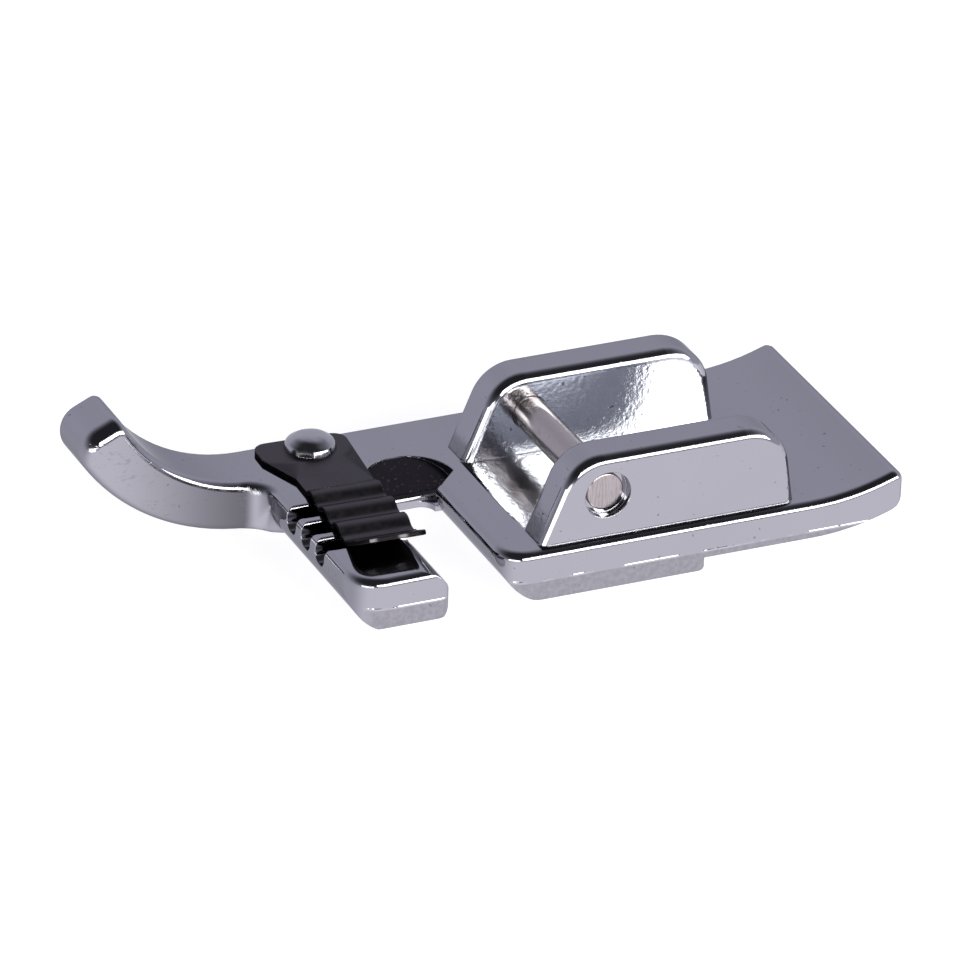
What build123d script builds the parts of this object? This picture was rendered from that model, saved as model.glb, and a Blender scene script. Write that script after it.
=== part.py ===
from build123d import *
import os
from math import acos, atan, cos, degrees, radians, sin, tan

os.makedirs("parts", exist_ok=True)

# Clip-on cording foot for a sewing machine, in millimetres.
# The origin is the middle of the cross pin. +Y points to the rear, where the fabric leaves, -Y to the
# front, where the horn lifts over it, +X to the open side of the needle slot, and +Z up.

# Cross pin and the two ears that carry it
pin_diameter = 2.0
pin_chamfer = 0.15
pin_recess = 0.4
pin_height = 2.55
pin_clearance = 0.02
counterbore_diameter = 2.75
counterbore_depth = 0.6
ear_gap = 8.0
ear_thickness = 2.6
ear_height = 4.9
ear_front = 4.0
ear_rear = 11.5
ear_front_lean = 22.5
ear_rear_lean = 8.5
ear_front_round = 2.6
ear_rear_round = 2.8
ear_edge_radius = 0.6

# Plate, sole and tail
near_ledge = 0.55
foot_width = 17.4
sole_depth = 3.1
sole_edge_radius = 0.4
plate_thickness = 2.15
plate_front = 6.4
plate_rear = 17.95
pad_rear = 5.75
pad_step_radius = 0.5
nose_run = 3.05
nose_wall = 0.55
tail_run = 5.6
tail_rise = 1.15
tail_round = 1.2
plate_front_corner = 1.8
plate_rear_corner = 0.5
top_edge_radius = 0.5
channel_width = 7.0
channel_depth = 0.8

# Needle slot, the bridge beside it and the scoop in the bridge
slot_width = 3.05
slot_depth = 10.2
slot_corner = 0.8
bridge_thickness = 1.65
scoop_radius = 2.6
scoop_slope = 16.0
scoop_inset = 0.55
scoop_offset = 0.95
scoop_flank = 44.0
scoop_rim = 0.5

# Cross arm and its cord grooves
arm_width = 5.75
arm_front_round = 2.15
arm_slot_round = 1.9
arm_fade = 1.0
arm_rear_round = 1.1
arm_front_corner = 2.0
arm_rear_corner = 0.7
groove_count = 3
groove_pitch = 2.0
groove_radius = 0.65
groove_depth = 1.25
groove_lip = 0.2

# Horn
horn_width = 4.3
horn_top_radius = 9.45
horn_sole_radius = 12.6
horn_sweep = 64.0
horn_tip_round = 1.5
horn_near_round = 1.0
horn_far_round = 0.65
horn_web = 1.4

# Corrugated leaf that holds the cords down
leaf_thickness = 0.28
leaf_width = 4.1
leaf_overhang = 0.1
leaf_edge_inset = 0.5
leaf_turn = 2.0
head_length = 1.9
head_width = 5.5
head_taper = 2.7
head_flare = 0.4
neck_length = 0.7
head_corner = 0.8
hump_height = 0.38
hump_rise = 0.3
hump_radius = 0.75
hump_shift = 0.15
lip_reach = 0.2
lip_angle = 28.0
lip_length = 2.0
lip_tab = 0.1
lip_corner = 0.9

# Rivet that fastens the leaf
rivet_diameter = 1.6
rivet_clearance = 0.04
rivet_head_diameter = 3.0
rivet_head_height = 0.9
rivet_crown = 0.2
rivet_shoulder = 0.5
rivet_tail_diameter = 2.2
rivet_tail_depth = 0.4
rivet_edge = 1.7
rivet_reach = 1.9

# Places that follow from the sizes above
plate_top = -pin_height
sole = plate_top - sole_depth
relief = plate_top - plate_thickness
ear_inner = ear_gap / 2
ear_outer = ear_inner + ear_thickness
near_side = ear_outer + near_ledge
far_side = near_side - foot_width
slot_end = near_side - slot_depth
arm_rear = -plate_front - slot_width
arm_front = arm_rear - arm_width
horn_start = arm_front
horn_near = far_side + horn_width
groove_places = [(index - (groove_count - 1) / 2) * groove_pitch for index in range(groove_count)]
grooved_half = groove_count * groove_pitch / 2
rivet_x = far_side + rivet_edge
rivet_y = arm_rear - rivet_reach
rivet_axis = Axis((rivet_x, rivet_y, 0), (0, 0, 1))


def side_block(outline, x_from, x_to):
    """Extrudes a face drawn in (Y, Z) from one X to another."""
    return extrude(Plane.YZ.offset(x_from) * outline, x_to - x_from)


def plan_block(outline, z_from, z_to):
    """Extrudes a face drawn in (X, Y) from one Z to another."""
    return extrude(Plane.XY.offset(z_from) * outline, z_to - z_from)


def front_block(outline, y_from, y_to):
    """Extrudes a face drawn in (X, Z) from one Y back to another."""
    plane = Plane((0, y_from, 0), x_dir=(1, 0, 0), z_dir=(0, -1, 0))
    return extrude(plane * outline, y_from - y_to)


def rectangle(x_from, x_to, y_from, y_to):
    """A rectangle given by its sides."""
    middle = Pos((x_from + x_to) / 2, (y_from + y_to) / 2)
    return middle * Rectangle(x_to - x_from, y_to - y_from)


def corner_of(face, x, y):
    """The face's corner nearest to a point."""
    return face.vertices().sort_by_distance((x, y, 0))[0]


def nearest(shapes, x, y, z):
    """The edge or face whose middle is nearest to a point."""
    return shapes.sort_by(lambda shape: (shape.center() - Vector(x, y, z)).length)[0]


def upright_cylinder(x, y, diameter, z_from, z_to):
    """A cylinder that stands on a point of the plan."""
    return plan_block(Pos(x, y) * Circle(diameter / 2), z_from, z_to)


def make_plate():
    """The plate with its rounded nose, sole pad, relieved rear and upturned tail."""
    tail_start = plate_rear - tail_run
    front = -plate_front
    nose_foot = (front + nose_run, sole)
    nose_top = (front, plate_top - nose_wall)
    top_line = Line((front, plate_top), (tail_start, plate_top))
    tail_top = TangentArc((tail_start, plate_top), (plate_rear, plate_top + tail_rise), tangent=(1, 0))
    tail_end = Line((plate_rear, plate_top + tail_rise), (plate_rear, relief + tail_rise))
    tail_sole = TangentArc((tail_start, relief), (plate_rear, relief + tail_rise), tangent=(1, 0))
    under = Polyline((tail_start, relief), (pad_rear, relief), (pad_rear, sole), nose_foot)
    nose = TangentArc(nose_foot, nose_top, tangent=(-1, 0))
    wall = Line(nose_top, (front, plate_top))
    outline = make_face(Curve() + [top_line, tail_top, tail_end, tail_sole, under, nose, wall])
    outline = fillet(corner_of(outline, plate_rear, relief + tail_rise), tail_round)
    outline = fillet(corner_of(outline, pad_rear, sole), pad_step_radius)
    block = side_block(outline, far_side, near_side)
    plan = rectangle(far_side, near_side, front, plate_rear)
    plan = fillet(corner_of(plan, near_side, front), plate_front_corner)
    plan = fillet(corner_of(plan, near_side, plate_rear), plate_rear_corner)
    plan = fillet(corner_of(plan, far_side, plate_rear), plate_rear_corner)
    return block & plan_block(plan, sole, plate_top + tail_rise)


def make_bridge():
    """The web that joins the plate and the arm, with the closed end of the slot."""
    plan = rectangle(far_side, slot_end + slot_corner, arm_rear - slot_corner, nose_run - plate_front)
    slot = rectangle(slot_end, near_side, arm_rear, -plate_front)
    slot = fillet(corner_of(slot, slot_end, arm_rear), slot_corner)
    slot = fillet(corner_of(slot, slot_end, -plate_front), slot_corner)
    return plan_block(plan - slot, plate_top - bridge_thickness, plate_top)


def make_arm_and_horn():
    """The cross arm and the upturned horn, drawn as one side outline and cut to one plan."""
    turn = radians(horn_sweep)
    low_tip = (
        horn_start - horn_sole_radius * sin(turn),
        sole + horn_sole_radius * (1 - cos(turn)),
    )
    high_tip = (
        horn_start - horn_top_radius * sin(turn),
        plate_top + horn_top_radius * (1 - cos(turn)),
    )
    upper = TangentArc((horn_start, plate_top), high_tip, tangent=(-1, 0))
    lower = TangentArc((horn_start, sole), low_tip, tangent=(-1, 0))
    root = Polyline(
        (horn_start, plate_top),
        (arm_rear, plate_top),
        (arm_rear, sole),
        (horn_start, sole),
    )
    outline = make_face(Curve() + [upper, Line(high_tip, low_tip), lower, root])
    outline = fillet(corner_of(outline, arm_rear, sole), arm_rear_round)
    outline = fillet(corner_of(outline, *low_tip), horn_tip_round)
    block = side_block(outline, far_side, near_side)

    horn_plan = rectangle(far_side, horn_near, low_tip[0], arm_rear)
    plan = horn_plan + rectangle(far_side, near_side, arm_front, arm_rear)
    plan = fillet(corner_of(plan, horn_near, arm_front), horn_web)
    block = block & plan_block(plan, sole, high_tip[1])

    # The rounding under the arm's front runs on round the web, along the horn and round its tip
    front_edge = nearest(block.edges(), (near_side + horn_near + horn_web) / 2, arm_front, sole)
    block = fillet(front_edge, horn_near_round)
    far_edge = nearest(block.edges(), far_side, (horn_start + arm_rear - arm_rear_round) / 2, sole)
    block = fillet(far_edge, horn_far_round)

    end_plan = rectangle(far_side, near_side, arm_front, arm_rear)
    end_plan = fillet(corner_of(end_plan, near_side, arm_rear), arm_rear_corner)
    end_plan = fillet(corner_of(end_plan, near_side, arm_front), arm_front_corner)
    end_plan += rectangle(far_side, horn_near + horn_web, low_tip[0], arm_rear)
    return block & plan_block(end_plan, sole, high_tip[1])


def round_sole_sides(body):
    """Rounds the long edges where the sole meets the two sides."""
    high = plate_top + horn_sole_radius
    outline = rectangle(far_side, near_side, sole, high)
    outline = fillet([corner_of(outline, x, sole) for x in (far_side, near_side)], sole_edge_radius)
    front = horn_start - horn_sole_radius
    return body & front_block(outline, plate_rear, front)


def round_top_outline(body):
    """Rounds the edge all the way round the top, over the horn and the tail."""
    flat = body.faces().filter_by(Axis.Z).sort_by(lambda face: face.area)[-1]
    horn_turn = radians(horn_sweep / 2)
    horn_face = nearest(
        body.faces(),
        (far_side + horn_near) / 2,
        horn_start - horn_top_radius * sin(horn_turn),
        plate_top + horn_top_radius * (1 - cos(horn_turn)),
    )
    tail_face = nearest(
        body.faces(),
        (far_side + near_side) / 2,
        plate_rear - tail_run / 2,
        plate_top + tail_rise / 4,
    )
    seams = [edge for face in (horn_face, tail_face) for edge in face.edges() if edge in flat.edges()]
    outline = flat.edges() + horn_face.edges() + tail_face.edges()
    return fillet([edge for edge in outline if edge not in seams], top_edge_radius)


def make_arm_cutter(y, z, y_way, z_way, radius, fade_end):
    """Rounds a long edge of the arm from its near end, and fades out at the bridge or the horn."""
    on_flat = (y - y_way * radius, z)
    on_wall = (y, z - z_way * radius)
    outside = (y + y_way * radius, z + z_way * radius)
    arc = TangentArc(on_flat, on_wall, tangent=(y_way, 0))
    rim = Polyline(on_wall, (outside[0], on_wall[1]), outside, (on_flat[0], outside[1]), on_flat)
    section = make_face(Curve() + [arc, rim])
    full = fade_end + arm_fade
    fade = loft([Plane.YZ.offset(full) * section, Vertex(fade_end, y, z)], ruled=True)
    return side_block(section, full, near_side + radius) + fade


def make_ear(x_from, x_to):
    """One ear: an upright wall with leaning ends, rounded all over, rooted in the plate."""
    root = plate_top - plate_thickness / 2
    crest = plate_top + ear_height
    front_slope = tan(radians(ear_front_lean))
    rear_slope = tan(radians(ear_rear_lean))
    outline = make_face(
        Polyline(
            (-ear_front + front_slope * (root - plate_top), root),
            (-ear_front + front_slope * ear_height, crest),
            (ear_rear - rear_slope * ear_height, crest),
            (ear_rear - rear_slope * (root - plate_top), root),
            close=True,
        )
    )
    outline = fillet(corner_of(outline, -ear_front + front_slope * ear_height, crest), ear_front_round)
    outline = fillet(corner_of(outline, ear_rear - rear_slope * ear_height, crest), ear_rear_round)
    ear = side_block(outline, x_from, x_to)
    crest_edges = [
        nearest(ear.edges(), x, (ear_rear - ear_front) / 2, crest)
        for x in (x_from, x_to)
    ]
    return fillet(crest_edges, ear_edge_radius)


def make_pin_holes():
    """Holes for the cross pin, wider at the ears' outer faces where its ends are set back."""
    hole = side_block(Circle((pin_diameter + pin_clearance) / 2), -ear_outer, ear_outer)
    bore = Circle(counterbore_diameter / 2)
    near_bore = side_block(bore, ear_outer - counterbore_depth, ear_outer)
    far_bore = side_block(bore, -ear_outer, -ear_outer + counterbore_depth)
    return hole + near_bore + far_bore


def make_scoop():
    """A sloping hollow at the closed end of the slot, where the thread is led under the foot."""
    axis_x = slot_end - scoop_inset
    axis_y = -plate_front - scoop_offset
    rear = axis_y + scoop_radius
    front = axis_y - scoop_radius
    mouth = slot_end + slot_corner
    start = axis_x - scoop_radius
    narrowing = (mouth - axis_x) * tan(radians(scoop_flank))
    bowl = ThreePointArc((axis_x, front), (start, axis_y), (axis_x, rear))
    funnel = Polyline(
        (axis_x, rear),
        (mouth, rear - narrowing),
        (mouth, front + narrowing),
        (axis_x, front),
    )
    slope = radians(scoop_slope)
    rim_middle = slot_end - scoop_rim
    low = plate_top - (rim_middle - start) * tan(slope) - scoop_rim / cos(slope)
    rim_start = (rim_middle + scoop_rim * sin(slope), low + scoop_rim * cos(slope))
    rim = TangentArc(rim_start, (slot_end, low), tangent=(cos(slope), -sin(slope)))
    sides = Polyline((slot_end, low), (mouth, low), (mouth, plate_top), (start, plate_top), rim_start)
    section = make_face(Curve() + [rim, sides])
    return plan_block(make_face(Curve() + [bowl, funnel]), low, plate_top) & front_block(section, rear, front)


def make_grooves():
    """Round-bottomed cord grooves across the arm, with rounded lips."""
    section = rectangle(-grooved_half, grooved_half, 0, groove_pitch)
    centre = groove_radius - groove_depth
    for place in groove_places:
        section += Pos(place, centre) * Circle(groove_radius)
        section += rectangle(place - groove_radius, place + groove_radius, centre, 0)
    sides = [place + way * groove_radius for place in groove_places for way in (-1, 1)]
    section = fillet([corner_of(section, side, 0) for side in sides], groove_lip)
    return front_block(Pos(0, plate_top) * section, arm_rear, arm_front)


def make_channel():
    """A shallow tunnel under the pad, so that the stitched cords pass behind the needle."""
    arc_radius = (channel_width**2 / 4 + channel_depth**2) / (2 * channel_depth)
    section = Pos(0, sole + channel_depth - arc_radius) * Circle(arc_radius)
    return front_block(section, pad_rear, -plate_front)


def make_rivet_hole():
    """The rivet's hole, flared at the sole for the tail."""
    hole_diameter = rivet_diameter + rivet_clearance
    hole = upright_cylinder(rivet_x, rivet_y, hole_diameter, sole, plate_top)
    flare = Cone(
        (rivet_tail_diameter + rivet_clearance) / 2,
        hole_diameter / 2,
        rivet_tail_depth,
        align=(Align.CENTER, Align.CENTER, Align.MIN),
    )
    return hole + Pos(rivet_x, rivet_y, sole) * flare


def make_body():
    """The plated casting: plate, bridge, arm and horn, with ears, grooves, scoop and holes."""
    body = make_plate() + make_bridge() + make_arm_and_horn()
    body = round_sole_sides(round_top_outline(body))
    body -= make_arm_cutter(arm_front, sole, -1, -1, arm_front_round, horn_near)
    body -= make_arm_cutter(arm_rear, plate_top, 1, 1, arm_slot_round, slot_end)
    body += make_ear(ear_inner, ear_outer)
    body += make_ear(-ear_outer, -ear_inner)
    return body - make_pin_holes() - make_scoop() - make_grooves() - make_channel() - make_rivet_hole()


def make_pin():
    """The cross pin that the machine's ankle clips on to."""
    end = ear_outer - pin_recess
    pin = side_block(Circle(pin_diameter / 2), -end, end)
    return chamfer(pin.edges().filter_by(GeomType.CIRCLE), pin_chamfer)


def leaf_line(rise):
    """One side of the leaf's outline, at a height over its middle line: flat, humps, lip."""
    half = groove_pitch / 2
    slope = 2 * atan(hump_height / half)
    valley_radius = half / sin(slope) - hump_radius
    reach = hump_radius + valley_radius
    start_slope = acos(1 - hump_rise / reach)
    turn = degrees(slope)
    start_turn = degrees(start_slope)
    level = plate_top + leaf_thickness / 2
    crest_level = level + hump_rise - hump_radius
    valley_level = level + hump_rise - hump_height + valley_radius
    crest = hump_radius + rise
    valley = valley_radius - rise

    flat_end = groove_places[0] - half + hump_shift - reach * sin(start_slope)
    line = [Line((far_side, level + rise), (flat_end, level + rise))]
    line.append(CenterArc((flat_end, level + valley_radius), valley, -90, start_turn))
    for place in groove_places:
        up = start_turn if place == groove_places[0] else turn
        line.append(CenterArc((place - half + hump_shift, crest_level), crest, 90 + up, -up - turn))
    for place in groove_places[:-1]:
        line.append(CenterArc((place + hump_shift, valley_level), valley, -90 - turn, 2 * turn))
    last = groove_places[-1] + hump_shift
    line.append(CenterArc((last, valley_level), valley, -90 - turn, turn))
    lip_start = last + lip_reach
    line.append(Line((last, valley_level - valley), (lip_start, valley_level - valley)))
    line.append(CenterArc((lip_start, valley_level), valley, -90, lip_angle))
    lift = radians(lip_angle)
    foot = Vector(lip_start, valley_level) + Vector(sin(lift), -cos(lift)) * valley
    tip = foot + Vector(cos(lift), sin(lift)) * lip_length
    line.append(Line(foot, tip))
    return line, (far_side, level + rise), tip


def make_leaf():
    """The corrugated leaf, cut to its plan and turned a little on its rivet."""
    under, under_start, under_tip = leaf_line(-leaf_thickness / 2)
    upper, upper_start, upper_tip = leaf_line(leaf_thickness / 2)
    ends = [Line(under_start, upper_start), Line(under_tip, upper_tip)]
    section = make_face(Curve() + under + upper + ends)

    rear = arm_rear + leaf_overhang
    front = rear - leaf_width
    head_rear = rear + head_flare
    head_front = head_rear - head_width
    start = far_side + leaf_edge_inset
    shoulder = start + head_length
    neck = -grooved_half - neck_length
    lip_start = groove_places[-1] + hump_shift + lip_reach
    end = near_side
    plan = make_face(
        Polyline(
            (start, head_rear),
            (start, head_front),
            (shoulder, head_front),
            (shoulder + head_taper, front),
            (end, front),
            (end, rear + lip_tab),
            (lip_start, rear + lip_tab),
            (lip_start, rear),
            (neck, rear),
            close=True,
        )
    )
    plan = fillet([corner_of(plan, start, y) for y in (head_rear, head_front)], head_corner)
    sheet = front_block(section, head_rear, head_front)
    leaf = sheet & plan_block(plan, sole, plate_top + ear_height)
    tip_x = (under_tip.X + upper_tip.X) / 2
    tip_z = (under_tip.Y + upper_tip.Y) / 2
    tip_corners = [nearest(leaf.edges(), tip_x, y, tip_z) for y in (front, rear + lip_tab)]
    leaf = fillet(tip_corners, lip_corner)
    leaf = leaf.rotate(rivet_axis, -leaf_turn)
    hole_diameter = rivet_diameter + rivet_clearance
    return leaf - upright_cylinder(rivet_x, rivet_y, hole_diameter, plate_top, plate_top + leaf_thickness)


def make_rivet():
    """The rivet: a low crowned head on the leaf, a shank and a tail spread flush with the sole."""
    seat = plate_top + leaf_thickness
    head_radius = rivet_head_diameter / 2
    shank_radius = rivet_diameter / 2
    crest = seat + rivet_head_height
    edge = crest - rivet_crown
    crown = TangentArc((0, crest), (head_radius, edge), tangent=(1, 0))
    sides = Polyline((head_radius, edge), (head_radius, seat), (0, seat), (0, crest))
    outline = make_face(Curve() + [crown, sides])
    outline = fillet(corner_of(outline, head_radius, edge), rivet_shoulder)
    head = revolve(Plane.XZ * outline, Axis.Z)
    shank = plan_block(Circle(shank_radius), sole, seat)
    tail = Cone(
        rivet_tail_diameter / 2,
        shank_radius,
        rivet_tail_depth,
        align=(Align.CENTER, Align.CENTER, Align.MIN),
    )
    return Pos(rivet_x, rivet_y) * (head + shank + Pos(0, 0, sole) * tail)


pieces = {
    "foot_body": make_body(),
    "cross_pin": make_pin(),
    "cord_leaf": make_leaf(),
    "leaf_rivet": make_rivet(),
}
for name, piece in pieces.items():
    export_step(piece, f"parts/{name}.step")
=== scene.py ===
# %% [markdown]
# A clip-on cording foot for a sewing machine is about 44 mm long: one plated casting, a steel cross
# pin, a black spring leaf and its rivet. The construction is already settled, so this lesson only
# dresses it. The imported parts come in as a fixed frame, in metres, and nothing here moves or resizes
# them. The box that they fill is measured and printed.

# %% Load the frame
from math import cos, exp, pi, radians, sin

import bmesh
import bpy
from mathutils import Matrix, Vector

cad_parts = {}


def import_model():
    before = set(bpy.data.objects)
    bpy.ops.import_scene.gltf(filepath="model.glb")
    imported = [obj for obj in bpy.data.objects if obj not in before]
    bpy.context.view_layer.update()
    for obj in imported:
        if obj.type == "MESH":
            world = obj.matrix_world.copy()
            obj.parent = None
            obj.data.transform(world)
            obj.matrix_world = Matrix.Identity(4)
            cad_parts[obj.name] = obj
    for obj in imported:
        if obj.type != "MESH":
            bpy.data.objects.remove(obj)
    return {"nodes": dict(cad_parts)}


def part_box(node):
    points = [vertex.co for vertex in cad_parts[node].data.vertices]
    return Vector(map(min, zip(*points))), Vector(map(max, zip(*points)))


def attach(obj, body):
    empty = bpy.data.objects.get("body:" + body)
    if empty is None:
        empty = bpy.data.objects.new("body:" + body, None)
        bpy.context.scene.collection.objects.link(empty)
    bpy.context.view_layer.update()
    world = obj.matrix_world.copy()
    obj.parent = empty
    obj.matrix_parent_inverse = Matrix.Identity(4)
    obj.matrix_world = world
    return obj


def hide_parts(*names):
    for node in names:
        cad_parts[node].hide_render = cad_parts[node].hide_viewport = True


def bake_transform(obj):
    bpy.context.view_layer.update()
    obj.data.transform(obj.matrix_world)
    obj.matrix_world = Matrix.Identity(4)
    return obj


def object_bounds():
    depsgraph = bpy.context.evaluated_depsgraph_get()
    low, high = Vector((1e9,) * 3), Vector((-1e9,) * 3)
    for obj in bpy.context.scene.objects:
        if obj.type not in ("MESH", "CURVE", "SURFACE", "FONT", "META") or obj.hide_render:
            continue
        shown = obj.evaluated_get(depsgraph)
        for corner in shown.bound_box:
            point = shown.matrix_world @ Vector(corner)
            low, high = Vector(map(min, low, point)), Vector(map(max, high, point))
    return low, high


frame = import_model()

cad_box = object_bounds()
MM = 0.001
nodes = frame["nodes"]
print("pieces:", sorted(nodes))
print("box in mm:", [[round(v / MM, 2) for v in corner] for corner in cad_box])

# %% [markdown]
# The picture is taken with a long lens from half a metre, a little above the foot and to one side, so
# the perspective is almost flat. A camera can be turned with angles, but it is clearer to state the
# three axes it looks along. The line of sight comes from an azimuth and an elevation, and a small roll
# levels the plate.

# %% Camera
AIM = Vector((-1.58, -3.88, -2.51)) * MM
CAMERA_DISTANCE = 519.0 * MM
CAMERA_AZIMUTH = radians(65.494)
CAMERA_ELEVATION = radians(27.549)
CAMERA_ROLL = radians(-1.774)
LENS = 348.5
SENSOR = 36.0
CLIP_NEAR, CLIP_FAR = 0.02, 20.0


def direction(azimuth, elevation):
    """Unit vector from the foot towards a place in the studio; azimuth 0 is in front of it, at -Y."""
    level = cos(elevation)
    return Vector((sin(azimuth) * level, -cos(azimuth) * level, sin(elevation)))


def add_camera():
    """Camera on the photograph's line of sight, set as the scene's own."""
    back = direction(CAMERA_AZIMUTH, CAMERA_ELEVATION)
    level_right = Vector((0, 0, 1)).cross(back).normalized()
    level_up = back.cross(level_right)
    right = level_right * cos(CAMERA_ROLL) - level_up * sin(CAMERA_ROLL)
    up = level_right * sin(CAMERA_ROLL) + level_up * cos(CAMERA_ROLL)
    data = bpy.data.cameras.new("camera")
    data.sensor_width = SENSOR
    data.lens = LENS
    data.clip_start = CLIP_NEAR
    data.clip_end = CLIP_FAR
    camera = bpy.data.objects.new("camera", data)
    turn = Matrix((right, up, back)).transposed().to_4x4()
    camera.matrix_world = Matrix.Translation(AIM + back * CAMERA_DISTANCE) @ turn
    bpy.context.collection.objects.link(camera)
    bpy.context.scene.camera = camera
    return camera


camera = add_camera()
print("camera at mm:", [round(v / MM, 1) for v in camera.matrix_world.translation])

# %% [markdown]
# Every finish below is a small tree of shader nodes. It could be wired by hand in the editor, but a script
# can be read and run again. One helper adds a node and sets its sockets, and the others stand for the
# steps that repeat: a measure, a remapped range, noise and a blend of colours.

# %% Node helpers
def add_node(tree, kind, sockets=None, **settings):
    """One shader node; a socket takes a plain value, or the output socket that feeds it."""
    node = tree.nodes.new(kind)
    for name, value in settings.items():
        setattr(node, name, value)
    for name, value in (sockets or {}).items():
        if isinstance(value, bpy.types.NodeSocket):
            tree.links.new(value, node.inputs[name])
        else:
            node.inputs[name].default_value = value
    return node


def measure(tree, operation, first, second=(0.0, 0.0, 0.0)):
    """One number from one or two vectors, such as a length or a distance."""
    node = add_node(tree, "ShaderNodeVectorMath", {0: first, 1: second}, operation=operation)
    return node.outputs["Value"]


def remap(tree, value, low, high, low_result=0.0, high_result=1.0):
    """Carry the range from low to high over to another range, with soft ends."""
    sockets = {"Value": value, "From Min": low, "From Max": high}
    sockets.update({"To Min": low_result, "To Max": high_result})
    node = add_node(tree, "ShaderNodeMapRange", sockets, interpolation_type="SMOOTHSTEP")
    return node.outputs["Result"]


def noise(tree, place, grain, detail=2.0):
    """Soft random value from 0 to 1, with features about grain millimetres across."""
    sockets = {"Vector": place, "Scale": 1 / (grain * MM), "Detail": detail}
    return add_node(tree, "ShaderNodeTexNoise", sockets).outputs["Fac"]


def blend_colours(tree, share, first, second):
    """From the first colour to the second as the share goes from 0 to 1."""
    node = add_node(tree, "ShaderNodeMix", {"Factor": share}, data_type="RGBA")
    for name, colour in (("A", first), ("B", second)):
        socket = [s for s in node.inputs if s.name == name and s.type == "RGBA"][0]
        if isinstance(colour, bpy.types.NodeSocket):
            tree.links.new(colour, socket)
        else:
            socket.default_value = (*colour, 1.0)
    return [s for s in node.outputs if s.type == "RGBA"][0]


print("node helpers:", [step.__name__ for step in (add_node, measure, remap, noise, blend_colours)])

# %% [markdown]
# A material starts as an empty tree that knows the object's own coordinates, so that a finish stays on
# its piece when the piece moves. It ends with one shader, which takes whatever the tree has worked out.

# %% Material helpers
def new_material(name):
    """An empty node material, with its tree and the object's own coordinates."""
    material = bpy.data.materials.new(name)
    material.use_nodes = True
    material.node_tree.nodes.clear()
    place = add_node(material.node_tree, "ShaderNodeTexCoord").outputs["Object"]
    return material, material.node_tree, place


def put_on(material, tree, sockets):
    """Finish a material with one shader that takes these sockets."""
    shader = add_node(tree, "ShaderNodeBsdfPrincipled", sockets)
    add_node(tree, "ShaderNodeOutputMaterial", {"Surface": shader.outputs["BSDF"]})
    return material


print("material helpers:", [step.__name__ for step in (new_material, put_on)])

# %% [markdown]
# Bright metal shows the studio more than it shows itself, so the light is part of the finish. The foot
# lies on a white table that glows softly. A table that is pure white to the eye would burn out in the
# metal, so mirrors don't see it: the lower half of the room will stand in for it there. The studio's own
# sizes are in metres.

# %% Table
SOLE = cad_box[0][2]
TABLE_GAP = 0.01 * MM
TABLE_RADIUS = 1.6
TABLE_STEPS = 96
TABLE_BRIGHT, TABLE_FADED = 0.5, 1.2
TABLE_GLOW, TABLE_RIM_GLOW = 0.85, 0.20
TABLE_COLOURS = (0.55, 0.55, 0.56), (0.58, 0.58, 0.58)
TABLE_GRAIN = 200.0


def add_table():
    """A wide round table under the sole, brightest round the foot."""
    mesh = bpy.data.meshes.new("table")
    form = bmesh.new()
    bmesh.ops.create_circle(form, cap_ends=True, segments=TABLE_STEPS, radius=TABLE_RADIUS)
    form.to_mesh(mesh)
    form.free()
    table = bpy.data.objects.new("table", mesh)
    table.location = (AIM.x, AIM.y, SOLE - TABLE_GAP)
    table.visible_glossy = False
    bpy.context.collection.objects.link(table)
    material, tree, place = new_material("white_table")
    reach = measure(tree, "LENGTH", place)
    mesh.materials.append(put_on(material, tree, {
        "Base Color": blend_colours(tree, noise(tree, place, TABLE_GRAIN), *TABLE_COLOURS),
        "Roughness": 0.9,
        "Specular IOR Level": 0.0,
        "Emission Color": (1.0, 1.0, 1.0, 1.0),
        "Emission Strength": remap(tree, reach, TABLE_BRIGHT, TABLE_FADED, TABLE_GLOW, TABLE_RIM_GLOW),
    }))
    return table


table = add_table()
print("table at mm:", round(table.location.z / MM, 3))

# %% [markdown]
# The room is a gradient and not a picture. Its walls are grey and darken evenly towards a black screen
# that hangs over the camera, and below the horizon it is white in front and grey behind, as the table
# would look. A flat top then mirrors the grey far wall, a side mirrors the white table, and each
# rounded edge between them runs through black to white.

# %% Room
WALL = (0.56, 0.56, 0.675)
SCREEN = (0.03, 0.03, 0.034)
TABLE_BEHIND = (0.62, 0.62, 0.70)
TABLE_IN_FRONT = (1.06, 1.04, 1.14)
SCREEN_WAY = direction(radians(65), radians(60))
SCREEN_SPAN = (0.0, 0.87)
FRONT_WAY = direction(radians(114), radians(-28))
FRONT_SPAN = (-0.3, 0.6)
BEHIND_SPAN = (0.0, -0.45)
HORIZON_SPAN = (0.02, -0.04)


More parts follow.
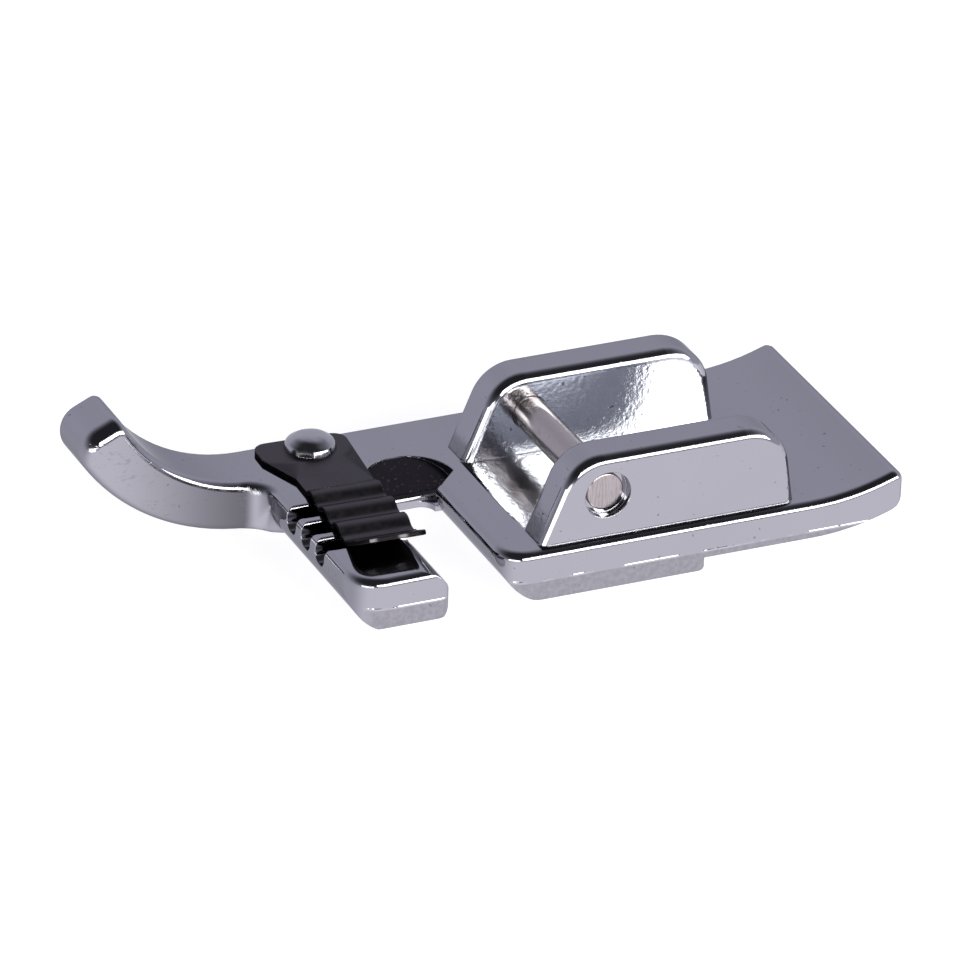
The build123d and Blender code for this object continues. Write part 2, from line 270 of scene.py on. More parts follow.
def set_room():
    """Grey walls that darken towards the screen, over a table that is brightest in front."""
    world = bpy.data.worlds.new("studio")
    world.use_nodes = True
    tree = world.node_tree
    tree.nodes.clear()
    way = add_node(tree, "ShaderNodeTexCoord").outputs["Generated"]
    height = add_node(tree, "ShaderNodeSeparateXYZ", {"Vector": way}).outputs["Z"]
    near_screen = remap(tree, measure(tree, "DOT_PRODUCT", way, SCREEN_WAY), *SCREEN_SPAN)
    near_front = remap(tree, measure(tree, "DOT_PRODUCT", way, FRONT_WAY), *FRONT_SPAN)
    walls = blend_colours(tree, near_screen, WALL, SCREEN)
    behind = blend_colours(tree, remap(tree, height, *BEHIND_SPAN), WALL, TABLE_BEHIND)
    below = blend_colours(tree, near_front, behind, TABLE_IN_FRONT)
    colour = blend_colours(tree, remap(tree, height, *HORIZON_SPAN), walls, below)
    background = add_node(tree, "ShaderNodeBackground", {"Color": colour, "Strength": 1.0})
    add_node(tree, "ShaderNodeOutputWorld", {"Surface": background.outputs["Background"]})
    bpy.context.scene.world = world
    return world


world = set_room()
bpy.context.scene.view_settings.view_transform = "Standard"
print("room nodes:", len(world.node_tree.nodes))

# %% [markdown]
# Two softboxes give the white lines. A wide one stands low to the right, and every edge that turns from
# the top to the near side mirrors it. A small one stands in front, just above the table, for the front
# edges of the ears. A lamp is set by how bright it looks in the metal, and its power follows from its
# size.

# %% Softboxes
SOFTBOX_DISTANCE = 0.60


def add_softbox(name, azimuth, elevation, width, height, brightness):
    """A rectangular lamp that faces the foot and shows in bright metal at this brightness."""
    data = bpy.data.lights.new(name, "AREA")
    data.shape = "RECTANGLE"
    data.size = width
    data.size_y = height
    data.energy = pi * brightness * width * height
    softbox = bpy.data.objects.new(name, data)
    way = direction(radians(azimuth), radians(elevation))
    turn = way.to_track_quat("Z", "Y").to_matrix().to_4x4()
    softbox.matrix_world = Matrix.Translation(AIM + way * SOFTBOX_DISTANCE) @ turn
    bpy.context.collection.objects.link(softbox)
    return softbox


softboxes = [
    add_softbox("right_softbox", azimuth=112, elevation=22, width=0.90, height=0.21, brightness=7.0),
    add_softbox("front_softbox", azimuth=45, elevation=1, width=0.42, height=0.12, brightness=4.5),
]
print("lamps in W:", {lamp.name: round(lamp.data.energy, 2) for lamp in softboxes})

# %% [markdown]
# The body is a zinc casting under bright plate. Chrome is one colour all over, so its life comes from
# where the polishing wheel could and couldn't reach. Such places could be painted on an unwrapped image,
# but a mask stays sharp at any distance and needs no unwrapping: it is a value from 0 to 1, worked out
# from the point's coordinates and from the way the surface faces there. A limit of a mask is a pair,
# where it starts to change and where it has changed: in mm for a place, and a plain number for noise or
# for the way of facing. A product of masks is 1 only where all of them are.

# %% Mask helpers
def calculate(tree, operation, first, second=0.0):
    """A sum, product or other calculation on two numbers."""
    node = add_node(tree, "ShaderNodeMath", {0: first, 1: second}, operation=operation)
    return node.outputs[0]


def vector(tree, operation, first, second=(0.0, 0.0, 0.0)):
    """One vector from one or two vectors, such as their sum."""
    node = add_node(tree, "ShaderNodeVectorMath", {0: first, 1: second}, operation=operation)
    return node.outputs["Vector"]


def size_of(tree, value, middle=0.0):
    """How far a value is from a middle one, on either side."""
    return calculate(tree, "ABSOLUTE", calculate(tree, "SUBTRACT", value, middle))


def beyond(tree, value, limit):
    """Mask that rises from 0 to 1 across a limit in mm."""
    return remap(tree, value, limit[0] * MM, limit[1] * MM)


def before(tree, value, limit):
    """Mask that falls from 1 to 0 across a limit in mm."""
    return remap(tree, value, limit[0] * MM, limit[1] * MM, 1.0, 0.0)


def all_of(tree, masks):
    """The product of several masks."""
    product = masks[0]
    for mask in masks[1:]:
        product = calculate(tree, "MULTIPLY", product, mask)
    return product


def split(tree, whole):
    """The three parts of a vector."""
    return add_node(tree, "ShaderNodeSeparateXYZ", {"Vector": whole}).outputs


def facing(tree):
    """The three parts of the way that the surface faces."""
    return split(tree, add_node(tree, "ShaderNodeNewGeometry").outputs["Normal"])


print("mask helpers:", [step.__name__ for step in (size_of, beyond, before, all_of, split, facing)])

# %% [markdown]
# The gap between the ears is too narrow for the wheel: the grain of the casting still breaks up the
# reflections there, on its walls and its floor. Its colour is lighter than the plate's as painted light,
# most of all on the floor. The front feet of the ears are rough as well. The floor of the scoop beside
# the needle slot is coloured black, but not its bright rim. In front of the ears the plate falls a
# little towards the slot.

# %% Masks of the plate
GAP_WALLS, GAP_FLOOR = (4.02, 4.06), (-2.61, -2.57)
GAP_FRONT, GAP_REAR = (-4.0, -3.8), (11.3, 11.7)
EAR_FOOT_INNER, EAR_FOOT_OUTER = (4.2, 4.5), (6.1, 6.4)
EAR_FOOT_FRONT, EAR_FOOT_REAR = (-5.1, -4.8), (-3.1, -2.5)
EAR_FOOT_LOW, EAR_FOOT_HIGH = (-2.5, -2.4), (-1.85, -1.05)
SCOOP_MIDDLE = Vector((-3.6, -7.35, 0.0)) * MM
SCOOP_RIM, SCOOP_DEPTH, SCOOP_SIDE = (2.75, 2.80), (-2.56, -2.59), (-3.15, -3.10)
SCOOP_LEVEL = (0.80, 0.90)
FALL_FRONT, FALL_REAR, FALL_TOP = (-6.45, -6.35), (-4.05, -3.95), (-2.57, -2.555)
FALL_LEVEL = (0.90, 0.98)


def find_gap(tree, x, y, z):
    """Mask of the unpolished walls and floor between the ears, which also get painted light."""
    return all_of(tree, [
        before(tree, size_of(tree, x), GAP_WALLS),
        beyond(tree, z, GAP_FLOOR),
        beyond(tree, y, GAP_FRONT),
        before(tree, y, GAP_REAR),
    ])


def find_ear_feet(tree, x, y, z):
    """Mask of the front feet of the ears, where they rise from the plate."""
    return all_of(tree, [
        beyond(tree, size_of(tree, x), EAR_FOOT_INNER),
        before(tree, size_of(tree, x), EAR_FOOT_OUTER),
        beyond(tree, y, EAR_FOOT_FRONT),
        before(tree, y, EAR_FOOT_REAR),
        beyond(tree, z, EAR_FOOT_LOW),
        before(tree, z, EAR_FOOT_HIGH),
    ])


def find_scoop(tree, place, x, z, upward):
    """Mask of the floor of the scoop: near its middle, under the plate's top, and not steep."""
    level = vector(tree, "MULTIPLY", place, (1.0, 1.0, 0.0))
    away = measure(tree, "DISTANCE", level, SCOOP_MIDDLE)
    return all_of(tree, [
        before(tree, away, SCOOP_RIM),
        beyond(tree, z, SCOOP_DEPTH),
        before(tree, x, SCOOP_SIDE),
        remap(tree, upward, *SCOOP_LEVEL),
    ])


def find_fall(tree, y, z, upward):
    """Mask of the plate's top between the ears and the slot."""
    return all_of(tree, [
        beyond(tree, y, FALL_FRONT),
        before(tree, y, FALL_REAR),
        beyond(tree, z, FALL_TOP),
        remap(tree, upward, *FALL_LEVEL),
    ])


print("gap in mm:", 2 * GAP_WALLS[0], "by", round(GAP_REAR[0] - GAP_FRONT[0], 1))

# %% [markdown]
# The casting's mould parted along a line on the upright sides. Below it they are left dull, and their
# colour is darker there as painted shade, where the sides draw in. A thin broken seam stands on the
# line itself, and its lighter colour is a painted highlight. The horn's inner side is scuffed, and
# painted shade darkens it towards its root. The upright corner there is rounded more than any other
# edge. Noise that is stretched along the horn draws the scuffs out into short strokes.

# %% Masks of the sides and the horn
SIDE_REACH, SIDE_FACING = (6.0, 6.2), (0.70, 0.95)
PARTING_HEIGHT = -4.3
DULL_TOP, SEAM_WIDTH = (-4.41, -4.3), (0.0, 0.11)
SEAM_GRAIN, SEAM_BREAKS = 1.6, (0.40, 0.55)
HORN_SIDE, HORN_ROOT = -5.95, -14.9
ROOT_FAR, ROOT_NEAR, ROOT_LEVEL = (-7.45, -6.95), (-5.65, -4.45), (0.25, 0.60)
ROOT_LENGTH, ROOT_END = (-25.5, -14.9), (-16.4, -15.7)
CORNER_ACROSS, CORNER_ALONG = (0.6, 1.2), (1.0, 1.6)
SCUFF_STRETCH = (1.0, 0.3, 1.0)
SCUFF_GRAIN, SCUFF_MARKS = 0.12, (0.52, 0.68)
SCUFF_PATCH, SCUFF_PATCHES, SCUFF_FACING = 1.2, (0.45, 0.60), (0.80, 0.95)


def find_sides(tree, x, sideways):
    """Mask of the upright outer sides."""
    return all_of(tree, [
        remap(tree, size_of(tree, sideways), *SIDE_FACING),
        beyond(tree, size_of(tree, x), SIDE_REACH),
    ])


def find_seam(tree, place, z, sides):
    """Mask of the parting line's seam, broken here and there."""
    return all_of(tree, [
        before(tree, size_of(tree, z, PARTING_HEIGHT * MM), SEAM_WIDTH),
        sides,
        remap(tree, noise(tree, place, SEAM_GRAIN), *SEAM_BREAKS),
    ])


def find_root_shade(tree, x, y, upward):
    """Mask of painted shade on the horn's inner side, stronger towards its root."""
    return all_of(tree, [
        beyond(tree, x, ROOT_FAR),
        before(tree, x, ROOT_NEAR),
        beyond(tree, y, ROOT_LENGTH),
        before(tree, y, ROOT_END),
        remap(tree, upward, *ROOT_LEVEL, 1.0, 0.0),
    ])


def find_corner(tree, x, y):
    """Mask of the upright corner between the horn and the arm."""
    return all_of(tree, [
        before(tree, size_of(tree, x, HORN_SIDE * MM), CORNER_ACROSS),
        before(tree, size_of(tree, y, HORN_ROOT * MM), CORNER_ALONG),
    ])


def stretch(tree, place, scale):
    """Coordinates for noise that is drawn out along an axis with a small scale."""
    return add_node(tree, "ShaderNodeMapping", {"Vector": place, "Scale": scale}).outputs["Vector"]


def find_scuffs(tree, place, y, sideways):
    """Mask of the short marks along the horn's inner side, in patches."""
    marks = noise(tree, stretch(tree, place, SCUFF_STRETCH), SCUFF_GRAIN)
    return all_of(tree, [
        remap(tree, marks, *SCUFF_MARKS),
        remap(tree, noise(tree, place, SCUFF_PATCH), *SCUFF_PATCHES),
        remap(tree, sideways, *SCUFF_FACING),
        before(tree, y, ROOT_END),
    ])


print("parting line at mm:", PARTING_HEIGHT, "horn's corner at mm:", (HORN_SIDE, HORN_ROOT))

# %% [markdown]
# No edge of a casting is quite sharp. Its edges could be cut with a Bevel modifier, but they meet in tight
# corners where that would tangle. A Bevel node evens out the normals within a radius instead, so an edge
# catches the light as a rounded one does. The angle between the rounded and the true normal tells how
# near an edge is, which is useful for wear. In the horn's corner the radius grows, and in front of the
# ears the normal leans with the plate.

# %% Edges of the casting
EDGE_SAMPLES = 6
EDGE_ANGLES = (0.995, 0.90)
CAST_ROUNDING, CORNER_ROUNDING = 0.10, 0.55
PLATE_LEAN = (0.0, -0.15, 0.0)


def soft_edges(tree, radius):
    """The normal with every sharp edge rounded off, and how near such an edge is, from 0 to 1."""
    bevel = add_node(tree, "ShaderNodeBevel", {"Radius": radius}, samples=EDGE_SAMPLES)
    rounded = bevel.outputs["Normal"]
    true_normal = add_node(tree, "ShaderNodeNewGeometry").outputs["Normal"]
    along = measure(tree, "DOT_PRODUCT", rounded, true_normal)
    return rounded, remap(tree, along, *EDGE_ANGLES)


def round_casting(tree, corner, fall):
    """The casting's rounded normal, which leans where the plate falls, and its edge mask."""
    radius = remap(tree, corner, 0.0, 1.0, CAST_ROUNDING * MM, CORNER_ROUNDING * MM)
    rounded, edge = soft_edges(tree, radius)
    lean = vector(tree, "MULTIPLY", PLATE_LEAN, fall)
    leaning = vector(tree, "ADD", rounded, lean)
    return vector(tree, "NORMALIZE", leaning), edge


print("rounding in mm:", CAST_ROUNDING, "and in the corner", CORNER_ROUNDING)

# %% [markdown]
# Relief that is finer than a tenth of a millimetre goes into a Bump node: the orange peel of the plate,
# the grain of the unpolished places, the seam, the scuffs and a few pits. Each is a mask times a height
# in mm, and the heights are added up. The gloss is added up in the same way.

# %% Relief and gloss of the casting
PEEL_GRAIN = 0.9
PEEL, SCUFF, SEAM, PIT = 0.0012, -0.004, 0.036, -0.004
GAP_ROUGH, DULL_ROUGH, EAR_FOOT_ROUGH = 0.016, 0.007, 0.030
SMEAR_GRAIN, SMEAR_SPAN, PLATE_GLOSS = 2.5, (0.3, 0.7), (0.045, 0.085)


def sum_of(tree, parts):
    """The sum of several values, each times its own weight."""
    total = 0.0
    for value, weight in parts:
        total = calculate(tree, "ADD", total, calculate(tree, "MULTIPLY", value, weight))
    return total


def bump(tree, height, normal):
    """Tilt the normal by a height that is given in millimetres."""
    sockets = {"Height": height, "Normal": normal, "Strength": 1.0, "Distance": MM}
    return add_node(tree, "ShaderNodeBump", sockets).outputs["Normal"]


def raise_casting(tree, place, masks, normal):
    """The casting's normal with all its fine relief."""
    grain = masks["grain"]
    height = sum_of(tree, [
        (noise(tree, place, PEEL_GRAIN), PEEL),
        (masks["scuffs"], SCUFF),
        (all_of(tree, [grain, masks["gap"]]), GAP_ROUGH),
        (all_of(tree, [grain, masks["dull_and_shaded"]]), DULL_ROUGH),
        (all_of(tree, [grain, masks["ear_feet"]]), EAR_FOOT_ROUGH),
        (masks["seam"], SEAM),
        (masks["pits"], PIT),
    ])
    return bump(tree, height, normal)


def gloss_casting(tree, place, masks):
    """Roughness of the plate: smeared a little, and higher where the wheel doesn't reach."""
    smears = remap(tree, noise(tree, place, SMEAR_GRAIN, 4.0), *SMEAR_SPAN, *PLATE_GLOSS)
    return sum_of(tree, [
        (smears, 1.0),
        (masks["gap"], 0.08),
        (masks["dull_and_shaded"], 0.16),
        (masks["ear_feet"], 0.40),
        (masks["edge"], 0.05),
        (masks["scoop"], 0.30),
    ])


print("relief in mm, from pit to seam:", PIT, "to", SEAM)

# %% [markdown]
# The colour of a metal is how much of the room it mirrors. It is laid on in coats over the plain plate,
# each coat with a mask, a cover and a colour. The last coat is the black of the scoop, which has paler
# specks of dust in it.

# %% Colours of the casting
PLATE = (0.425, 0.42, 0.445), (0.455, 0.45, 0.475)
PLATE_GRAIN = 6.0
# Painted light: the gap's walls, and most of all its floor, are coloured lighter than the plate.
GAP_PAINTED_LIGHT, GAP_FLOOR_PAINTED_LIGHT = (0.60, 0.61, 0.635), (0.84, 0.85, 0.87)
GAP_FLOOR_LEVEL = (0.80, 0.95)
# Painted shade: the sides below the parting line get a darker colour.
DULL_SHADED_PLATE, DULL_COVER = (0.25, 0.245, 0.26), (0.3, 0.7, 0.3, 0.6)
# Painted highlight: the seam is coloured lighter than the plate. Painted shade: the horn's root is darker.
SEAM_HIGHLIGHT_PLATE, ROOT_PAINTED_SHADE = (0.62, 0.62, 0.63), (0.10, 0.10, 0.11)
PIT_PLATE, SCUFF_PLATE, EDGE_PLATE = (0.16, 0.15, 0.15), (0.22, 0.22, 0.23), (0.56, 0.55, 0.54)
SCOOP_BLACK, SCOOP_SPECK = (0.055, 0.050, 0.055), (0.24, 0.21, 0.21)
SPECK_GRAIN, SPECK_COVER = 0.22, (0.62, 0.74, 0.0, 0.5)


def lay_coats(tree, tint, coats):
    """Lay coats of colour over a tint; each is a mask, how much it covers, and its colour."""
    for mask, cover, colour in coats:
        tint = blend_colours(tree, calculate(tree, "MULTIPLY", mask, cover), tint, colour)
    return tint


def colour_casting(tree, place, masks, upward):
    """The plate's colour in all its places."""
    floor = all_of(tree, [masks["gap"], remap(tree, upward, *GAP_FLOOR_LEVEL)])
    dull_and_shaded = all_of(tree, [masks["dull_and_shaded"], remap(tree, masks["grain"], *DULL_COVER)])
    specks = remap(tree, noise(tree, place, SPECK_GRAIN, 1.0), *SPECK_COVER)
    black = blend_colours(tree, specks, SCOOP_BLACK, SCOOP_SPECK)
    return lay_coats(tree, blend_colours(tree, noise(tree, place, PLATE_GRAIN), *PLATE), [
        # painted light in the gap, brightest on its floor
        (masks["gap"], 1.0, GAP_PAINTED_LIGHT),
        (floor, 1.0, GAP_FLOOR_PAINTED_LIGHT),
        # painted shade on the dull lower sides
        (dull_and_shaded, 1.0, DULL_SHADED_PLATE),
        # painted highlight on the seam
        (masks["seam"], 1.0, SEAM_HIGHLIGHT_PLATE),
        # painted shade, darker towards the horn's root
        (masks["root"], 0.9, ROOT_PAINTED_SHADE),
        (masks["pits"], 0.6, PIT_PLATE),
        (masks["scuffs"], 0.4, SCUFF_PLATE),
        (masks["edge"], 0.25, EDGE_PLATE),
        (masks["scoop"], 1.0, black),
    ])


print("plate mirrors about", PLATE[0][0], "to", PLATE[1][0])

# %% [markdown]
# Now the finish can be put together: the masks are found once and shared by the relief, the gloss and
# the colours. Bright plate also loses some of its shine at grazing angles, and the shader's own
# specular tint does that.

# %% Plated casting
GRAIN = 0.30
PIT_GRAIN, PIT_SPAN = 0.32, (0.73, 0.79)
PLATE_GRAZING = (0.62, 0.62, 0.63, 1.0)


def make_plated_casting():
    """Bright plate over a cast body, unpolished where the wheel doesn't reach."""
    material, tree, place = new_material("plated_casting")
    x, y, z = split(tree, place)
    sideways, _, upward = facing(tree)
    sides = find_sides(tree, x, sideways)
    masks = {
        "gap": find_gap(tree, x, y, z),
        "ear_feet": find_ear_feet(tree, x, y, z),
        "scoop": find_scoop(tree, place, x, z, upward),
        # dull below the parting line, and coloured darker there as painted shade
        "dull_and_shaded": all_of(tree, [before(tree, z, DULL_TOP), sides]),
        "seam": find_seam(tree, place, z, sides),
        # painted shade on the horn's inner side, towards its root
        "root": find_root_shade(tree, x, y, upward),
        "scuffs": find_scuffs(tree, place, y, sideways),
        "grain": noise(tree, place, GRAIN, 3.0),
        "pits": remap(tree, noise(tree, place, PIT_GRAIN, 1.0), *PIT_SPAN),
    }
    normal, masks["edge"] = round_casting(tree, find_corner(tree, x, y), find_fall(tree, y, z, upward))
    return put_on(material, tree, {
        "Base Color": colour_casting(tree, place, masks, upward),
        "Metallic": 1.0,
        "Specular Tint": PLATE_GRAZING,
        "Roughness": gloss_casting(tree, place, masks),
        "Normal": raise_casting(tree, place, masks, normal),
    })


nodes["foot_body"].data.materials.clear()
nodes["foot_body"].data.materials.append(make_plated_casting())
print("plated:", nodes["foot_body"].name)

# %% [markdown]
# The cross pin is a cut length of turned steel rod, held by its ends: a punch has spread them a little
# in their counterbores. The solid is a plain rod, so a mesh stands for it, made by carrying one profile
# round the axis. A Screw modifier could do that, but rings made here close at both ends in one point.
# The same helper will serve the rivet, so the caller says where a point of the profile comes to lie.

# %% Pin mesh
TURN_STEPS = 96
TURN_SHARP = radians(40)
PIN_END = ((-0.01, 0.0), (0.0, 0.99), (-0.02, 1.06), (-0.06, 1.09))
PIN_NECK = ((6.06, 1.09), (6.01, 1.0))


def turn_profile(name, profile, spot):
    """A turned piece: a profile of (along, radius) pairs carried round; spot gives a point of it."""
    form = bmesh.new()
    rings = []
    for along, radius in profile:
        turns = [2 * pi * step / TURN_STEPS for step in range(TURN_STEPS if radius else 1)]
        rings.append([form.verts.new(spot(along, radius, turn)) for turn in turns])
    for here, there in zip(rings, rings[1:]):
        for step in range(TURN_STEPS):
            after = (step + 1) % TURN_STEPS
            corners = [here[step % len(here)], here[after % len(here)]]
            corners += [there[after % len(there)], there[step % len(there)]]
            form.faces.new(list(dict.fromkeys(corners)))
    bmesh.ops.recalc_face_normals(form, faces=form.faces)
    mesh = bpy.data.meshes.new(name)
    form.to_mesh(mesh)
    form.free()
    mesh.shade_smooth()
    mesh.set_sharp_from_angle(angle=TURN_SHARP)
    piece = bpy.data.objects.new(name, mesh)
    bpy.context.collection.objects.link(piece)
    return piece


def pin_spot(along, radius, turn):
    """A point of the pin, whose axis is X."""
    return along, radius * cos(turn), radius * sin(turn)


def make_pin():
    """The cross pin, with spread ends that stay inside the counterbores."""
    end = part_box("cross_pin")[1][0]
    half = [(end + along * MM, radius * MM) for along, radius in PIN_END]
    half += [(along * MM, radius * MM) for along, radius in PIN_NECK]
    profile = [(-along, radius) for along, radius in half] + half[::-1]
    return turn_profile("turned_pin", profile, pin_spot)


pin = make_pin()
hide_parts("cross_pin")
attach(pin, "foot")
print("pin faces:", len(pin.data.polygons))

# %% [markdown]
# The pin's steel is warmer than the plate, and the tool has left fine rings round it. Noise that is
# drawn out round the pin gives those rings without any seam, and noise that is drawn out upwards gives
# the saw marks on its ends. Close to the ears the wheel has missed it, and it is stained brown.

# %% Pin steel
RING_STRETCH, RING_GRAIN, RING_SPAN = (1.0, 0.06, 0.06), 0.035, (0.3, 0.7)
SAW_STRETCH, SAW_GRAIN, SAW_SPAN, SAW_FACING = (1.0, 1.0, 0.10), 0.10, (0.48, 0.62), (0.90, 0.98)
STAIN_START, STAIN_END = (2.6, 4.0), (4.0, 4.5)
STAIN_GRAIN, STAIN_SPAN = 0.5, (0.25, 0.50)
MARK_GRAIN, MARK_SPAN = 0.6, (0.58, 0.72)
RING, MARK, SAW = 0.00035, -0.0008, -0.0015
PIN_ROUNDING, PIN_GLOSS = 0.06, (0.16, 0.26)
PIN_STEEL = (0.43, 0.39, 0.385), (0.52, 0.475, 0.465)
SAW_STEEL, STAIN_BROWN = (0.26, 0.23, 0.22), (0.10, 0.075, 0.065)
MARK_STEEL, RUBBED_STEEL = (0.30, 0.27, 0.25), (0.62, 0.59, 0.575)


def make_pin_steel():
    """Turned steel with fine rings, sawn ends, stains by the ears and a few handling marks."""
    material, tree, place = new_material("pin_steel")
    across = size_of(tree, split(tree, place)[0])
    rings = noise(tree, stretch(tree, place, RING_STRETCH), RING_GRAIN)
    marks = remap(tree, noise(tree, place, MARK_GRAIN, 4.0), *MARK_SPAN)
    sawn = all_of(tree, [
        remap(tree, noise(tree, stretch(tree, place, SAW_STRETCH), SAW_GRAIN), *SAW_SPAN),
        remap(tree, size_of(tree, facing(tree)[0]), *SAW_FACING),
    ])
    stained = all_of(tree, [
        beyond(tree, across, STAIN_START),
        before(tree, across, STAIN_END),
        remap(tree, noise(tree, place, STAIN_GRAIN), *STAIN_SPAN),
    ])
    rounded, edge = soft_edges(tree, PIN_ROUNDING * MM)
    tint = lay_coats(tree, blend_colours(tree, rings, *PIN_STEEL), [
        (sawn, 0.35, SAW_STEEL),
        (stained, 0.75, STAIN_BROWN),
        (marks, 0.35, MARK_STEEL),
        (edge, 0.4, RUBBED_STEEL),
    ])
    height = sum_of(tree, [(rings, RING), (marks, MARK), (sawn, SAW)])
    return put_on(material, tree, {
        "Base Color": tint,
        "Metallic": 1.0,
        "Roughness": remap(tree, rings, *RING_SPAN, *PIN_GLOSS),
        "Normal": bump(tree, height, rounded),
    })


pin.data.materials.append(make_pin_steel())
print("turned:", pin.name)

# %% [markdown]
# The leaf is thin spring steel, pressed into waves and blackened. It bends when a cord goes under it, so
# a rigid solid isn't enough: a copy of its mesh is cut across in narrow strips between the rivet and the
# first groove, so that a bend could be shared among them. Its cut edges are broken with a tiny bevel,
# which catches the light.

# %% Leaf mesh
BEND_START, BEND_END = -6.9 * MM, -3.4 * MM
BEND_CUTS = 24
LEAF_EDGE = 0.03 * MM
LEAF_WELD = 0.001 * MM
LEAF_FLAT, LEAF_CORNER, LEAF_SHARP = radians(0.5), radians(50), radians(30)


def make_leaf():
    """The leaf as one closed mesh with broken edges, fine enough to bend behind its head."""
    mesh = nodes["cord_leaf"].data.copy()
    mesh.name = "spring_leaf"
    form = bmesh.new()
    form.from_mesh(mesh)
    bmesh.ops.remove_doubles(form, verts=form.verts, dist=LEAF_WELD)
    bmesh.ops.dissolve_limit(form, angle_limit=LEAF_FLAT, verts=form.verts, edges=form.edges)
    sharp = [e for e in form.edges if len(e.link_faces) == 2 and e.calc_face_angle() > LEAF_CORNER]
    bmesh.ops.bevel(form, geom=sharp, offset=LEAF_EDGE, segments=2, affect="EDGES", clamp_overlap=True)
    for cut in range(BEND_CUTS + 1):
        x = BEND_START + (BEND_END - BEND_START) * cut / BEND_CUTS
        whole = form.verts[:] + form.edges[:] + form.faces[:]
        bmesh.ops.bisect_plane(form, geom=whole, plane_co=(x, 0, 0), plane_no=(1, 0, 0))
    bmesh.ops.recalc_face_normals(form, faces=form.faces)
    form.to_mesh(mesh)
    form.free()
    mesh.shade_smooth()
    mesh.set_sharp_from_angle(angle=LEAF_SHARP)
    leaf = bpy.data.objects.new("spring_leaf", mesh)
    bpy.context.collection.objects.link(leaf)
    return leaf


leaf = make_leaf()
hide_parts("cord_leaf")
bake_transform(leaf)
print("leaf faces:", len(leaf.data.polygons))

# %% [markdown]
# Blackened steel is satin: dark, but with a broad soft shine. Its cut edges and its underside are
# coloured darkest, as painted shade. Along its edges the black wears thin and grey steel shows, and in
# two places cords have polished the end of the lip, which catches the light there. Long fine marks run
# the way the sheet was rolled. It is a dark metal here and not a black paint, so the colour alone says
# how much it mirrors.

# %% Black spring steel
ROLL_STRETCH, ROLL_GRAIN = (0.05, 1.0, 1.0), 0.05
MOTTLE_GRAIN, MOTTLE_SPAN, WEAR_COVER = 0.5, (0.3, 0.7), (0.45, 0.65, 0.0, 0.3)
DUST_GRAIN, DUST_SPAN = 0.16, (0.73, 0.80)
CUT_LEVEL, LIP_FACING = (0.62, 0.50), (0.60, 0.75)
LIP_START, LIP_SPOTS, LIP_SPOT_HALF = (4.15, 4.25), (-13.1, -11.3), (0.084, 0.42)
ROLL, MOTTLE = 0.0006, 0.0015
LEAF_ROUNDING, LEAF_GLOSS = 0.07, (0.27, 0.38)
LEAF_BLACK = (0.082, 0.076, 0.081), (0.130, 0.120, 0.127)
# The cut edges and the underside are coloured darkest as painted shade.
ROLL_BLACK, CUT_AND_UNDERSIDE_SHADE, LIP_BLACK = (0.155, 0.143, 0.151), (0.012, 0.011, 0.012), (0.055, 0.052, 0.054)
DUST_GREY, WORN_GREY = (0.30, 0.27, 0.26), (0.30, 0.29, 0.30)
LEAF_GRAZING = (0.5, 0.5, 0.5, 1.0)


def find_lip_wear(tree, place, forward):
    """Mask of the places on the end of the lip that cords have polished."""
    x, y, _ = split(tree, place)
    spots = [before(tree, size_of(tree, y, middle * MM), LIP_SPOT_HALF) for middle in LIP_SPOTS]
    return all_of(tree, [
        sum_of(tree, [(spot, 1.0) for spot in spots]),
        beyond(tree, x, LIP_START),
        remap(tree, forward, *LIP_FACING),
    ])


def make_black_spring_steel():
    """Blackened sheet with worn edges, rolling marks and a little dust."""
    material, tree, place = new_material("black_spring_steel")
    rolled = noise(tree, stretch(tree, place, ROLL_STRETCH), ROLL_GRAIN, 3.0)
    mottle = noise(tree, place, MOTTLE_GRAIN, 4.0)
    dust = remap(tree, noise(tree, place, DUST_GRAIN, 1.0), *DUST_SPAN)
    forward, _, upward = facing(tree)
    # painted shade: the cut edges and the underside get the darkest colour
    cut = remap(tree, upward, *CUT_LEVEL)
    polished = find_lip_wear(tree, place, forward)
    rounded, edge = soft_edges(tree, LEAF_ROUNDING * MM)
    worn = all_of(tree, [edge, remap(tree, mottle, *WEAR_COVER)])
    tint = lay_coats(tree, blend_colours(tree, mottle, *LEAF_BLACK), [
        (rolled, 0.30, ROLL_BLACK),
        (dust, 0.35, DUST_GREY),
        (cut, 1.0, CUT_AND_UNDERSIDE_SHADE),
        (worn, 1.0, WORN_GREY),
        (polished, 1.0, LIP_BLACK),
    ])
    satin = remap(tree, mottle, *MOTTLE_SPAN, *LEAF_GLOSS)
    height = sum_of(tree, [(rolled, ROLL), (mottle, MOTTLE)])
    return put_on(material, tree, {
        "Base Color": tint,
        "Metallic": 1.0,
        "Specular Tint": LEAF_GRAZING,
        "Roughness": sum_of(tree, [(satin, 1.0), (cut, 0.15), (polished, -0.35)]),
        "Normal": bump(tree, height, rounded),
    })


leaf.data.materials.clear()
leaf.data.materials.append(make_black_spring_steel())
print("blackened:", leaf.name)

# %% [markdown]
# The rivet's head was set with a hand press: a low button, nearly flat on top, with a bent shoulder and
# a rim that isn't quite even. It is turned from a profile as the pin is, but the head also sinks a
# little as it goes round, and has a nick in its rim. Those dents are in the mesh, because a bright dome
# shows every one of them. The profile stays inside the solid's own box, and the shank and the tail
# under the sole keep the solid's sizes.

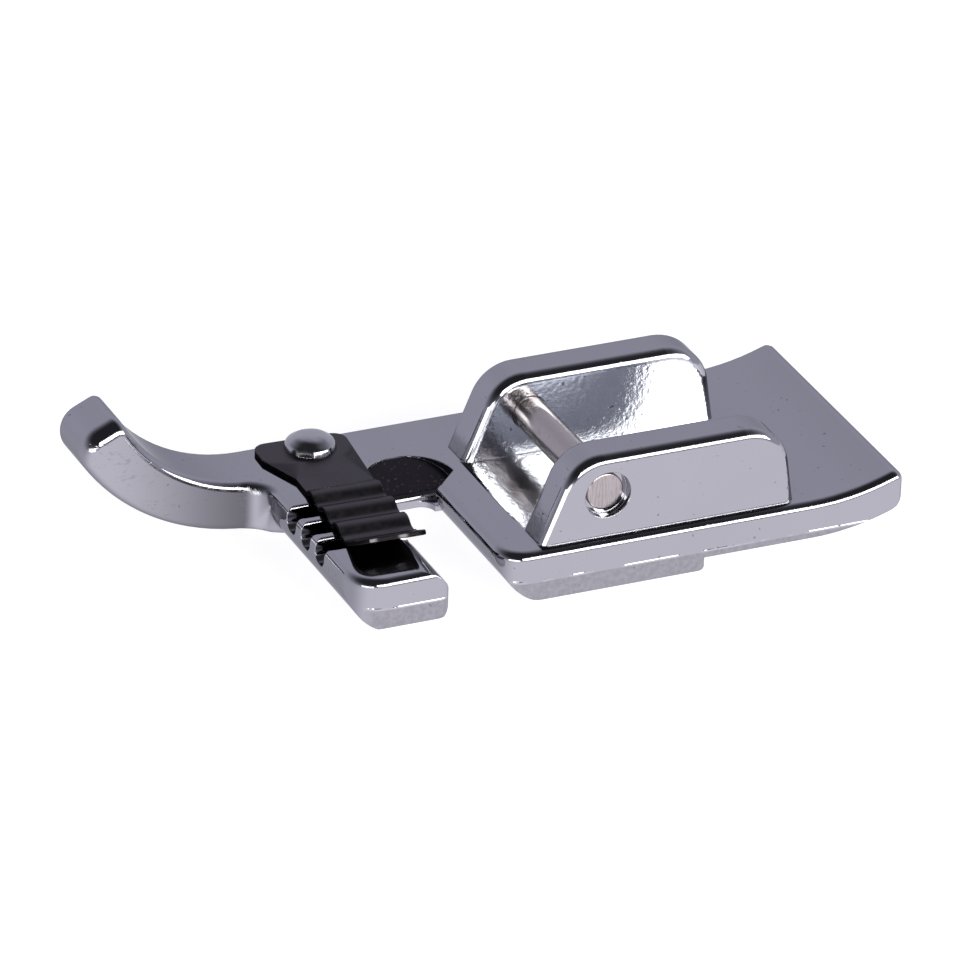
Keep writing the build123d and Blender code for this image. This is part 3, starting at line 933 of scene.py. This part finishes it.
# %% Rivet mesh
RIVET_HEAD = 0.9 * MM
RIVET_SHANK = 0.8 * MM
RIVET_TAIL = 1.1 * MM
RIVET_TAIL_DEPTH = 0.4 * MM
HEAD_RADIUS = 1.5 * MM
HEAD_PROFILE = (
    (0.78, 0.0), (0.775, 0.25), (0.76, 0.50), (0.73, 0.72), (0.69, 0.90), (0.63, 1.01), (0.55, 1.13),
    (0.48, 1.24), (0.42, 1.33), (0.34, 1.39), (0.22, 1.44), (0.10, 1.475), (0.0, 1.495),
)
DENT, DENT_START, DENT_RIPPLE = 0.05, 0.9, 0.6
NICK_TURN = radians(328)
NICK_WIDTH = radians(14)
NICK_DEPTH = 0.09 * MM


def make_rivet():
    """The rivet, with an uneven pressed head on the leaf."""
    low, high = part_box("leaf_rivet")
    middle_x, middle_y = (low[0] + high[0]) / 2, (low[1] + high[1]) / 2
    sole, seat = low[2], high[2] - RIVET_HEAD
    profile = [(seat + along * MM, radius * MM) for along, radius in HEAD_PROFILE]
    profile += [(seat, RIVET_SHANK), (sole + RIVET_TAIL_DEPTH, RIVET_SHANK)]
    profile += [(sole, RIVET_TAIL), (sole, 0.0)]

    def rivet_spot(along, radius, turn):
        raised = max(0.0, along - seat)
        outward = (radius / HEAD_RADIUS) ** 2
        sink = DENT * raised * outward * (1 + sin(2 * turn + DENT_START) + DENT_RIPPLE * sin(5 * turn))
        nick = NICK_DEPTH * outward * exp(-((turn - NICK_TURN) / NICK_WIDTH) ** 2) if raised else 0.0
        radius, height = radius - nick, along - sink - nick * raised / HEAD_RADIUS
        return middle_x + radius * cos(turn), middle_y + radius * sin(turn), height

    return turn_profile("pressed_rivet", profile, rivet_spot)


rivet = make_rivet()
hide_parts("leaf_rivet")
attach(rivet, "foot")
print("rivet faces:", len(rivet.data.polygons))

# %% [markdown]
# The rivet's steel is a plain bright one. The press leaves it smooth, with the slightest dimples from the
# tool. They are too shallow to model, so soft noise in a Bump node gives them, and the same kind of noise
# varies the gloss where hands have been.

# %% Rivet steel
DIMPLE_GRAIN, DIMPLE = 0.8, 0.02
HANDLED_GRAIN, HANDLED_SPAN, RIVET_GLOSS = 0.9, (0.3, 0.7), (0.12, 0.20)
RIVET_ROUNDING = 0.07
RIVET_STEEL = (0.42, 0.42, 0.44), (0.50, 0.50, 0.52)
RIVET_EDGE = (0.70, 0.69, 0.68)


def make_rivet_steel():
    """Bright pressed steel with shallow dimples and rubbed edges."""
    material, tree, place = new_material("rivet_steel")
    handled = noise(tree, place, HANDLED_GRAIN, 4.0)
    rounded, edge = soft_edges(tree, RIVET_ROUNDING * MM)
    tint = blend_colours(tree, handled, *RIVET_STEEL)
    height = calculate(tree, "MULTIPLY", noise(tree, place, DIMPLE_GRAIN), DIMPLE)
    return put_on(material, tree, {
        "Base Color": lay_coats(tree, tint, [(edge, 0.3, RIVET_EDGE)]),
        "Metallic": 1.0,
        "Roughness": remap(tree, handled, *HANDLED_SPAN, *RIVET_GLOSS),
        "Normal": bump(tree, height, rounded),
    })


rivet.data.materials.append(make_rivet_steel())
print("riveted:", rivet.name)
